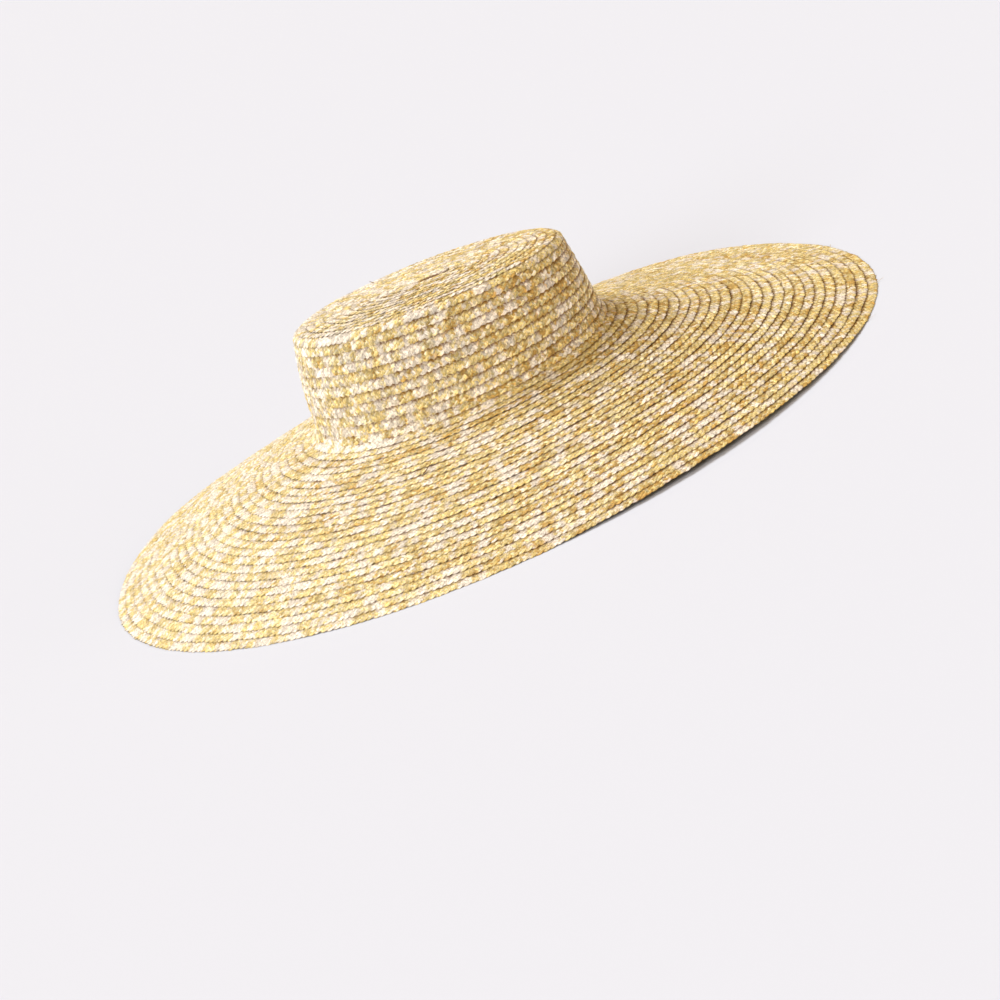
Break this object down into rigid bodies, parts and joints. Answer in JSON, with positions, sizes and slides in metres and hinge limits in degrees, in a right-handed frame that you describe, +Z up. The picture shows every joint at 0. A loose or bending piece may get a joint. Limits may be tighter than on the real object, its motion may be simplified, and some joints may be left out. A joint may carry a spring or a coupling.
{
  "type": "flat-top straw hat",
  "caption": "Wide-brimmed straw hat with a low flat-topped oval crown and a drooping brim, sewn in a spiral from plaited straw braid.",
  "frame": {"origin": "centre of the hat's outline on the surface that its rim rests on", "axes": "+Z up through the crown, -Y towards the front of the hat, +X towards the wearer's left"},
  "size_m": [0.5093, 0.5336, 0.1234],
  "materials": {
    "straw_braid": "plaited wheat straw, pale gold with cream and tan strands, slightly glossy"
  },
  "bodies": {
    "root": {"crown_tip": "straw_braid", "crown_side": "straw_braid", "brim": "straw_braid"}
  },
  "joints": []
}
